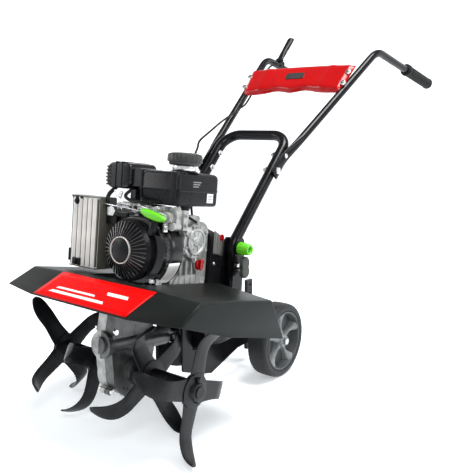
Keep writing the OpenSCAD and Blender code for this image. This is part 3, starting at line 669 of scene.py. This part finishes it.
# ------------------------------------------------------------------ engine: air cleaner, tank and carburettor
cleaner = Shape()
cleaner.loft([(round_rect(-118, -44, 406, 460, 15, 8), 22), (round_rect(-121, -41, 403, 463, 18, 8), 26),
              (round_rect(-122, -40, 402, 464, 18, 8), 60), (round_rect(-122, -40, 402, 464, 18, 8), 108),
              (round_rect(-118, -44, 406, 460, 15, 8), 112)], "y")
cleaner.prism(round_rect(-42, -14, 410, 452, 5), 30, 104, "y")
cleaner.box(-58, -41, 42, 62, 373.4, 404)
piece("cleaner_case", cleaner, "gloss", bevel=1.2, segments=3, replaces=("air_cleaner",), sharp=30)
ribs = Shape()
for k in range(6):
    z = 409 + 8.2 * k
    ribs.prism(round_rect(-124.5 + 1.2 * abs(k - 2.5), -103, 19.5, 70, 6), z, z + 4.2, "z")
piece("cleaner_ribs", ribs, "gloss", bevel=0.8)
bands = Shape()
for x in (-92, -72):
    bands.prism(round_rect(x, x + 5, 20.5, 110, 2), 404, 465.4, "z")
bands.prism(round_rect(-66, -44, 21, 26, 2), 412, 456, "z")
piece("cleaner_bands", bands, "tank", bevel=1)

TANK = (-13, 102, 22, 174)
CAP_AT = (67, 82)


def tank_ring(inset, r):
    x0, x1, y0, y1 = TANK
    return round_rect(x0 + inset, x1 - inset, y0 + inset, y1 - inset, r, 8)


tank = Shape().loft([(tank_ring(7, 8), 375), (tank_ring(2.5, 11), 378), (tank_ring(1.2, 12), 384),
                     (tank_ring(1.2, 12), 407), (tank_ring(0, 13), 409), (tank_ring(0, 13), 412),
                     (tank_ring(1, 12), 414), (tank_ring(1, 12), 438), (tank_ring(3, 11), 445),
                     (tank_ring(8, 8), 449), (tank_ring(16, 6), 450)], "z")
tank.lathe([(19, 448), (19, 461), (23, 461), (23, 456), (30, 452), (34, 449)], *CAP_AT, "z", 48)
piece("fuel_tank_shell", tank, "tank", bevel=0.6, replaces=("fuel_tank",), sharp=28)
strap = Shape().prism(round_rect(84, 98, 20.8, 24, 1), 386, 446, "z").box(-6, -2, 20.8, 23.5, 388, 446)
piece("tank_strap", strap, "tank", bevel=0.6)
neck = Shape().lathe([(19, 452), (19, 464), (27, 464), (28, 460), (26, 453)], *CAP_AT, "z", 40)
piece("tank_neck", neck, "bright", bevel=0.4)


def cap_shape(n=160):
    rings = []
    for k in range(n):
        a = 2 * math.pi * k / n
        knurl = 1.1 * max(0.0, math.sin(20 * a)) ** 0.6
        profile = [(23.5, 465), (23.5, 483), (0.01, 484), (0.01, 493), (30, 493), (33, 491.6),
                   (37.4 - knurl, 490.5), (39.4 - knurl, 487), (40 - knurl, 479),
                   (39.6 - knurl, 473), (36, 471.8), (35.5, 468), (33, 465)]
        rings.append([(CAP_AT[0] + r * math.cos(a), CAP_AT[1] + r * math.sin(a), z) for r, z in profile])
    return Shape().rings(rings, closed=True)


piece("fuel_cap_knurled", cap_shape(), "cap", "fuel_cap", replaces=("fuel_cap",), sharp=40)


def sticker(x, y0, y1, z0, z1, bars):
    """A blank label on the tank's side, with plain grey bars in place of print."""
    piece("tank_sticker", Shape().box(x, x + 0.6, y0, y1, z0, z1), "label")
    lines = Shape()
    for k in range(bars):
        z = z1 - 4 - (z1 - z0 - 6) * k / bars
        lines.box(x + 0.6, x + 0.8, y0 + 3, y1 - 3 - 5 * (k % 2), z - 1.6, z)
    piece("tank_sticker_bars", lines, "ink")


sticker(101.2, 128, 150, 384, 405, 4)
marks = Shape()
for k in range(3):
    marks.box(101.0, 101.5, 76, 104 - 4 * k, 428 - 5 * k, 430.5 - 5 * k)
piece("tank_marks", marks, "plate")

linkage = Shape()
linkage.sweep(smooth_path([(-96, -4, 366), (-60, -8, 364), (-20, -6, 362), (24, -2, 358)]), 1.5, 8)
linkage.sweep(smooth_path([(-70, 4, 398), (-58, 0, 386), (-44, -2, 372), (-40, 0, 356)]), 1.6, 8)
linkage.sweep(smooth_path([(10, 4, 370), (36, 0, 366), (60, 2, 362), (84, 10, 352), (96, 20, 340)]), 1.8, 8)
SPRING_R = 4.2
spring_turns = [(-48 + 0.42 * k, -2 + SPRING_R * math.cos(k * 0.9), 371 + SPRING_R * math.sin(k * 0.9))
                for k in range(90)]
linkage.sweep(spring_turns, 0.8, 6)
linkage.prism([(-84, 340), (-66, 340), (-60, 352), (-70, 362), (-86, 358)], -2, 1, "y")
linkage.prism([(-66, 386), (-52, 398), (-44, 396), (-50, 380)], 3, 6, "y")
linkage.prism([(16, 352), (30, 366), (58, 372), (66, 364), (44, 352)], 12, 15, "y")
linkage.box(-24, -6, 34, 48, 352, 372)
piece("linkage", linkage, "bright", bevel=0.4, sharp=40)
carb = Shape()
carb.lathe([(6, 16), (6, 34), (13, 34), (13, 20), (11, 16)], -14, 362, "y", 32)
carb.disc(84, 348, 13, 10, 34, "y", 28).disc(84, 348, 7, 4, 10, "y", 20).disc(98, 330, 9, 16, 40, "y", 20)
carb.prism([(70, 336), (78, 368), (96, 374), (104, 356), (100, 322), (88, 320)], 26, 44, "y")
carb.box(60, 76, 14, 40, 356, 372).disc(24, 363, 8, 8, 26, "y", 20)
carb.box(96, 108, 44, 60, 322, 366).box(88, 106, 60, 76, 318, 330)
carb.bolt((84, 4, 348), "y", -1, 4, 4).bolt((66, 14, 364), "y", -1, 3.5, 4)
carb.bolt((24, 8, 363), "y", -1, 3.5, 4)
carb.bolt((108, 52, 334), "x", 1, 4.5, 4).bolt((108, 52, 356), "x", 1, 4.5, 4)
piece("carburettor_parts", carb, "cast", bevel=1, sharp=30)
hoses = Shape()
hoses.sweep(smooth_path([(-44, 34, 404), (-33, 2, 388), (-8, -2, 378), (20, -2, 377), (44, 6, 375)]), 4, 12)
hoses.sweep(smooth_path([(-92, 32, 408), (-96, 10, 386), (-92, 6, 366), (-90, 16, 344)]), 5, 12)
hoses.sweep(smooth_path([(72, 60, 376), (86, 54, 366), (98, 70, 352), (102, 96, 340)]), 3.2, 12)
hoses.box(-94, -60, 4, 20, 320, 342).box(-52, -20, -3, 6, 340, 350).box(44, 70, 2, 12, 342, 352)
piece("hoses", hoses, "plastic", bevel=1.5, sharp=40)


# ------------------------------------------------------------------ engine: crankcase side and oil plug
COVER = (125, 293)
PLUG_AT = (150, 236)
LABEL_R = 80.7
cover = Shape()
cover.lathe([(0.01, 69), (0.01, 84), (10, 84.5), (12, 82), (24, 82), (26, 85), (31, 85), (33, 80), (40, 79),
             (42, 76), (42, 69)], COVER[0], COVER[1], "x", 72)
for k in range(6):
    a = math.radians(30 + 60 * k)
    y, z = COVER[0] + 42 * math.cos(a), COVER[1] + 42 * math.sin(a)
    cover.disc(y, z, 7, 62, 79, "x", 20)
    cover.bolt((79, y, z), "x", 1, 4.2, 5)
for k in range(8):
    a = math.radians(22 + 45 * k)
    spin = Matrix.Translation((0, COVER[0], COVER[1])) @ Matrix.Rotation(a, 4, "X")
    cover.turned(spin, Shape().box(77, 83.5, -1.5, 1.5, 10, 38))
piece("crankcase_side", cover, "cast", bevel=0.9, replaces=("crankcase_cover",), sharp=30)
case = Shape()
case.prism([(62, 184), (70, 200), (78, 214), (150, 214), (178, 204), (182, 176), (64, 176)], 58, 71, "x")
case.prism(round_rect(60, 188, 166.5, 178, 4), 58, 84, "x")
for k in range(4):
    case.box(66, 72.5, 84 + 20 * k, 87 + 20 * k, 180, 250)
case.bolt((71, 92, 190), "x", 1, 5, 5).bolt((71, 168, 192), "x", 1, 5, 5).bolt((76, 178, 178), "z", 1, 5, 5)
case.disc(*PLUG_AT, 15, 60, 72, "x", 28)
case.prism(round_rect(70, 96, 318, 344, 6), 50, 68, "x")
case.prism(round_rect(104, 150, 330, 352, 6), 30, 68, "x")
piece("crankcase_ribs", case, "cast", bevel=1.6, segments=3, sharp=30)


def case_label():
    """A blank card label wrapped round the shroud's lower corner."""
    rows = []
    for k in range(9):
        a = math.radians(-14 - 46 * k / 8)
        x, z = 22 + LABEL_R * math.cos(a), CRANK_Z + LABEL_R * math.sin(a)
        rows.append([Vector((x, 14 + 12 * j, z)) for j in range(4)])
    flat = [v for row in rows for v in row]
    return Shape().add(flat, grid_faces(8, 3))


piece("case_label", case_label(), "label", thick=0.6, sharp=80)
plug = Shape().lathe([(7.8, 62), (7.8, 70.4), (12, 70.4), (12.4, 72), (12, 76), (9, 78), (0.01, 78),
                      (0.01, 62)], *PLUG_AT, "x", 32)
plug.prism(round_rect(144.5, 155.5, 224, 250, 4), 76, 84, "x")
plug.box(77, 82, 155, 162, 240, 246)
piece("oil_plug_grip", plug, "red", "oil_plug", bevel=1.4, segments=3, replaces=("oil_plug",), sharp=30)


# ------------------------------------------------------------------ belt cover label
plate = Shape().prism([(198, 262), (198, 318), (262, 286), (262, 246)], 76, 77.6, "x")
for k in range(5):
    y0, y1, low, high = 201 + 11 * k, 208 + 11 * k, 2.6 * k, 5.2 * k
    plate.prism([(y0, 264 - low), (y0, 313 - high), (y1, 309.5 - high), (y1, 262 - low)], 77, 79.4, "x")
piece("cover_plate", plate, "plate", bevel=0.7)
piece("cover_spot", Shape().disc(226, 300, 8, 78, 81, "x"), "red", bevel=0.6)
cover_bolts = Shape().bolt((76, 214, 90), "x", 1, 5, 5).bolt((76, 268, 170), "x", 1, 5, 5)
cover_bolts.bolt((76, 206, 236), "x", 1, 4, 4)
piece("cover_bolts", cover_bolts, "bright", bevel=0.3)


# ------------------------------------------------------------------ handlebars
LEG_X = 104
LEG_BOLTS = [(440, 564), (477, 601)]
START = Vector((131, 500, 616))
BEND = Vector((194, 870, 893))
END = Vector((212, 1262, 815))


def along_grip(t):
    return BEND + (END - BEND) * t


def leg_tube():
    """The lower loop, from one foot over the top to the other."""
    route = bent_path([(-LEG_X, 271, 288), (-LEG_X, 271, 392), (-LEG_X, 528, 651), (LEG_X, 528, 651),
                       (LEG_X, 271, 392), (LEG_X, 271, 288)], 50, 14)
    return Shape().sweep(route, 14, 28)


piece("lower_loop", leg_tube(), "frame", "handlebar", GROUND, bevel=0.6, replaces=("lower_handlebar",),
      sharp=50)


def upper_tube():
    """One upper tube: its lower end is pressed flat against the leg, and its top runs into the grip."""
    foot = Vector((121.5, 428, 552))
    route = smooth_path([foot, (121.6, 447, 570), (123.5, 472, 594), START + (BEND - START) * 0.06,
                         START + (BEND - START) * 0.12], 5)
    lower = len(route)
    route += bent_path([START + (BEND - START) * 0.14, BEND, END], 80, 14)
    rings = []
    tangents = [unit(route[min(i + 1, len(route) - 1)] - route[max(i - 1, 0)]) for i in range(len(route))]
    for i, (q, t) in enumerate(zip(route, tangents)):
        along = max(0, min(1, (i - 6) / (lower - 7)))
        flat = 1 - along * along * (3 - 2 * along)
        across = unit(Vector((1, 0, 0)) - t * t.x)
        up = t.cross(across)
        wide, thin = 11 + 5 * flat, 11 - 7.8 * flat
        rings.append([q + across * thin * math.cos(a) + up * wide * math.sin(a)
                      for a in [2 * math.pi * k / 24 for k in range(24)]])
    return Shape().rings(rings)


def grip_shape():
    """A moulded grip: a flared collar, ribbed body and a rounded end."""
    a, b = along_grip(0.53), along_grip(1.01)
    way = unit(b - a)
    length = (b - a).length
    marks_at = [(0, 14.5), (2, 18), (12, 18.4), (15, 15.5), (22, 15.2)]
    for k in range(14):
        at = 26 + k * (length - 44) / 14
        marks_at += [(at, 16.4), (at + 6, 16.6), (at + 8, 15.5), (at + 10, 15.5)]
    marks_at += [(length - 14, 17), (length - 5, 17.4), (length - 1.5, 15), (length, 11)]
    side, up = Vector((1, 0, 0)), way.cross(Vector((1, 0, 0)))
    rings = [[a + way * s + side * r * math.cos(w)
              + up * (r * math.sin(w) - (1.6 if math.sin(w) < -0.3 else 0))
              for w in [2 * math.pi * k / 32 for k in range(32)]] for s, r in sorted(marks_at)]
    return Shape().rings(rings)


for word, mirror in SIDES:
    over = ("upper_handlebars",) if word == "left" else ()
    piece("upper_tube_" + word, upper_tube(), "frame", "handlebar", mirror, replaces=over, sharp=60)
    over = ("grips",) if word == "left" else ()
    piece("grip_" + word, grip_shape(), "rubber", "handlebar", mirror, replaces=over, sharp=50)
    bolts = Shape()
    for y, z in LEG_BOLTS:
        bolts.lathe([(0.01, 124.4), (9, 124.4), (9, 126), (8, 128.5), (4, 130.2), (0.01, 130.6)],
                    y, z, "x", 24)
        bolts.bolt((90, y, z), "x", -1, 6, 7)
        bolts.disc(y, z, 4, 84, 128, "x", 16)
    over = ("fasteners",) if word == "left" else ()
    piece("leg_bolts_" + word, bolts, "bright", "handlebar", mirror, replaces=over)


# ------------------------------------------------------------------ console
CONSOLE = (734, 805)
TILT = math.radians(46)


def console_point(x, s, lift):
    """A point on the console: s runs up its slope and lift stands out of it."""
    y = CONSOLE[0] + s * math.cos(TILT) - lift * math.sin(TILT)
    z = CONSOLE[1] + s * math.sin(TILT) + lift * math.cos(TILT)
    return Vector((x, y, z))


def console_shape(columns=48, rows=14):
    """A thin moulded panel: crowned across, with a waved lower edge and a rolled rim."""
    front, back = [], []
    for r in range(rows + 1):
        for c in range(columns + 1):
            u, v = -1 + 2 * c / columns, -1 + 2 * r / rows
            half = 172 + 6 * v
            top = 52 + 5 * (1 - u * u)
            bottom = 54 - 10 * math.exp(-((abs(u) - 0.3) / 0.22) ** 2) - 4 * math.cos(math.pi * u / 2)
            s = v * top if v > 0 else v * bottom
            rim = 1 - max(abs(u) ** 14, abs(v) ** 8)
            lift = 3 + 13 * rim ** 0.5 + 3.5 * math.exp(-((abs(u) - 0.62) / 0.07) ** 2) * rim
            front.append(console_point(half * u, s, lift))
            back.append(console_point(half * u * 0.985, s * 0.97, lift - 3))
    width = columns + 1
    grid = grid_faces(rows, columns)
    under = [[i + len(front) for i in face[::-1]] for face in grid]
    edge = list(range(width)) + [r * width + columns for r in range(1, rows + 1)]
    edge += [rows * width + c for c in range(columns - 1, -1, -1)]
    edge += [r * width for r in range(rows - 1, 0, -1)]
    skirt = [[b, a, a + len(front), b + len(front)] for a, b in zip(edge, edge[1:] + edge[:1])]
    return Shape().add(front + back, grid + under + skirt)


piece("console_shell", console_shape(), "red", "handlebar", GROUND, replaces=("console_panel",), sharp=60)
emblem = [console_point(x, s, 15) for x, s in round_rect(-30, 30, -4, 20, 6)]
lift = console_point(0, 0, 3) - console_point(0, 0, 0)
piece("console_emblem", Shape().rings([emblem, [p + lift for p in emblem]]), "cap", "handlebar", GROUND,
      bevel=0.6)
console_bolts = Shape()
for side in (1, -1):
    for s in (-26, 18):
        seat = console_point(side * 168, s, 12)
        dome = Shape().lathe([(0.01, 0), (8.5, 0), (8.5, 2), (7, 4.5), (3, 6), (0.01, 6.2)], 0, 0, "z", 24)
        turn = Matrix.Translation(seat) @ Matrix.Rotation(TILT, 4, "X")
        console_bolts.turned(turn, dome)
piece("console_bolts", console_bolts, "bright", "handlebar", GROUND)


# ------------------------------------------------------------------ engage lever and cable
PIVOT = Vector((-198, 958, 895))
LEVER_LENGTH = 107
LEVER_LEAN = math.radians(46)
lever = Shape()
rings = []
for k in range(13):
    t = k / 12
    wide = 12.5 - 1.5 * math.sin(math.pi * t) + (1.2 if k in (8, 10) else 0)
    thick = 4.6 + 4.4 * min(1, 3 * t) - 1.4 * t + (1.6 if k in (7, 9, 11) else 0)
    rings.append([(wide * math.cos(a), LEVER_LENGTH * t, thick * math.sin(a)) for a in
                  [2 * math.pi * j / 16 for j in range(16)]])
lever.turned(Matrix.Translation(PIVOT) @ Matrix.Rotation(LEVER_LEAN, 4, "X"), Shape().rings(rings))
lever.disc(PIVOT.y, PIVOT.z, 8, PIVOT.x - 10, PIVOT.x + 10, "x")
piece("engage_lever_grip", lever, "plastic", "engage_lever", GROUND, bevel=0.6, replaces=("engage_lever",),
      sharp=50)
clamp = Shape().prism(round_rect(PIVOT.y - 14, PIVOT.y + 12, PIVOT.z - 24, PIVOT.z - 4, 5), -212, -208, "x")
clamp.prism(round_rect(PIVOT.y - 14, PIVOT.y + 12, PIVOT.z - 24, PIVOT.z - 4, 5), -188, -184, "x")
clamp.disc(PIVOT.y, PIVOT.z, 3.4, -213, -183, "x")
piece("lever_clamp", clamp, "plastic", "handlebar", GROUND, bevel=1)

CABLE_UPPER = [(-180, 948, 884), (-178, 900, 876), (-174, 860, 866), (-165, 800, 828), (-161, 747, 784),
               (-152, 697, 748), (-144, 668, 736), (-138, 642, 729), (-122, 580, 711), (-103, 500, 688),
               (-80, 420, 663), (-60, 350, 640)]
CABLE_LOWER = [(-58, 347, 638), (-44, 320, 622), (-26, 280, 592), (-12, 252, 550), (-4, 244, 500),
               (0, 243, 460), (0, 245, 440)]
cable = piece("cable", Shape().sweep(smooth_path(CABLE_UPPER + CABLE_LOWER[1:], 6), 3, 12), "rubber", None,
              GROUND, replaces=("cable_at_handlebar", "cable_at_engine"), sharp=80)


# ------------------------------------------------------------------ knobs
KNOB_AT = (271, 342)
RELEASE_AT = (275, 386)


def lobed_knob():
    """A two-lobed knob on the pivot bolt, its washer and its metal hub."""
    y, z = KNOB_AT
    rings = []
    for x, grow in ((134, -2.5), (135.5, 0), (143, 0.4), (145.6, -1.5), (146, -5)):
        ring = []
        for k in range(48):
            a = 2 * math.pi * k / 48
            lobe = 12.5 + 14 * abs(math.sin(a)) ** 1.6
            ring.append((x, y + (lobe + grow) * math.cos(a), z + (lobe + grow) * math.sin(a)))
        rings.append(ring)
    return Shape().rings(rings)


for word, mirror in SIDES:
    body = "height_knob_" + word
    piece("wing_knob_" + word, lobed_knob(), "knob", body, mirror, bevel=0.8, replaces=(body,), sharp=40)
    stem = Shape().disc(*KNOB_AT, 4, 84, 134, "x").disc(*KNOB_AT, 11, 123, 126, "x", 28)
    stem.disc(*KNOB_AT, 8, 126, 134, "x", 6)
    piece("wing_stem_" + word, stem, "bright", body, mirror, bevel=0.4)
release = Shape().lathe([(5, 119), (5, 123), (14.6, 123), (16, 124.4), (13.4, 152), (12.4, 154), (8.6, 154),
                         (7.4, 152), (7, 144), (0.01, 144), (0.01, 119)], *RELEASE_AT, "x", 40)
for k in range(12):
    a = math.radians(30 * k)
    spin = Matrix.Translation((0, *RELEASE_AT)) @ Matrix.Rotation(a, 4, "X")
    release.turned(spin, Shape().prism([(-1.2, 14.6), (1.2, 14.6), (1.2, 16.2), (-1.2, 16.2)], 126, 136, "x"))
piece("release_grip", release, "green", "release_knob", GROUND, bevel=0.6, replaces=("release_knob",),
      sharp=30)


# ------------------------------------------------------------------ carried-over CAD nodes
slot_of = {sub["node"]: sub["material_slot"] for sub in frame["record"]["subparts"]}
# gearbox_left takes the darker copy of the cast alloy: painted shade for the dark reflections on that half.
OVER = {"depth_stake": "frame", "hitch_pins": "frame", "tine_shaft": "tine", "gearbox_left": "cast_painted_shade",
        "gearbox_bolts": "bright", "muffler": "shade", "starter_pulley": "plastic"}
for node, thing in frame["nodes"].items():
    finish = M[OVER.get(node) or OF_SLOT[slot_of[node]]]
    for material_slot in thing.material_slots:
        material_slot.material = finish
    if not thing.material_slots:
        thing.data.materials.append(finish)


# ------------------------------------------------------------------ cable across the handlebar fold
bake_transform(cable)


# ------------------------------------------------------------------ floor, backdrop and light
STAGE_R = 9
STAGE_H = 6
VIEW_AWAY = Vector((-0.61, 0.79, 0))


def stage_piece(name, verts, faces, colour, glow):
    mesh = bpy.data.meshes.new(name)
    mesh.from_pydata(verts, [], faces)
    mesh.polygons.foreach_set("use_smooth", [True] * len(mesh.polygons))
    sheet = bpy.data.objects.new(name, mesh)
    bpy.context.collection.objects.link(sheet)
    material = finish_of(name, colour, 0.7, tone=0.004, bump=0.0, specular=0.1)
    shader = material.node_tree.nodes["Principled BSDF"]
    shader.inputs["Emission Color"].default_value = (0.97, 0.985, 1, 1)
    shader.inputs["Emission Strength"].default_value = glow
    mesh.materials.append(material)
    return material


def fade_wall(material, low, high):
    """Makes the wall glow most behind the object and least in front of it, with no edge between."""
    nodes, links = material.node_tree.nodes, material.node_tree.links
    coords = nodes.new("ShaderNodeTexCoord")
    along = nodes.new("ShaderNodeVectorMath")
    along.operation = "DOT_PRODUCT"
    along.inputs[1].default_value = VIEW_AWAY
    fade = nodes.new("ShaderNodeMapRange")
    fade.interpolation_type = "SMOOTHSTEP"
    fade.inputs["From Min"].default_value = -0.5 * STAGE_R
    fade.inputs["From Max"].default_value = 0.6 * STAGE_R
    fade.inputs["To Min"].default_value = low
    fade.inputs["To Max"].default_value = high
    links.new(coords.outputs["Object"], along.inputs[0])
    links.new(along.outputs["Value"], fade.inputs["Value"])
    links.new(fade.outputs["Result"], nodes["Principled BSDF"].inputs["Emission Strength"])


RIM_POINTS = 96
rim = circle(0, 0, STAGE_R, RIM_POINTS)
stage_piece("floor", [(x, y, 0) for x, y in rim], [list(range(RIM_POINTS))], (0.84, 0.88, 0.91), 0.40)
wall = stage_piece("backdrop", [(x, y, z) for z in (-0.01, STAGE_H) for x, y in rim],
                   [[k, (k + 1) % RIM_POINTS, RIM_POINTS + (k + 1) % RIM_POINTS, RIM_POINTS + k]
                    for k in range(RIM_POINTS)], (0.6, 0.6, 0.6), 1.0)
fade_wall(wall, 0.22, 1.0)
add_world()
add_light("key", (1.9, -2.4, 2.9), (0, -0.3, 0.3), 1.5, 52)
add_light("side", (2.6, 0.6, 1.3), (0, -0.2, 0.4), 0.9, 9)
add_light("fill", (-2.6, -2.2, 1.6), (0, -0.3, 0.3), 1.4, 20)
add_light("top", (0.9, 0.2, 3.2), (0, -0.2, 0.3), 1.6, 135)
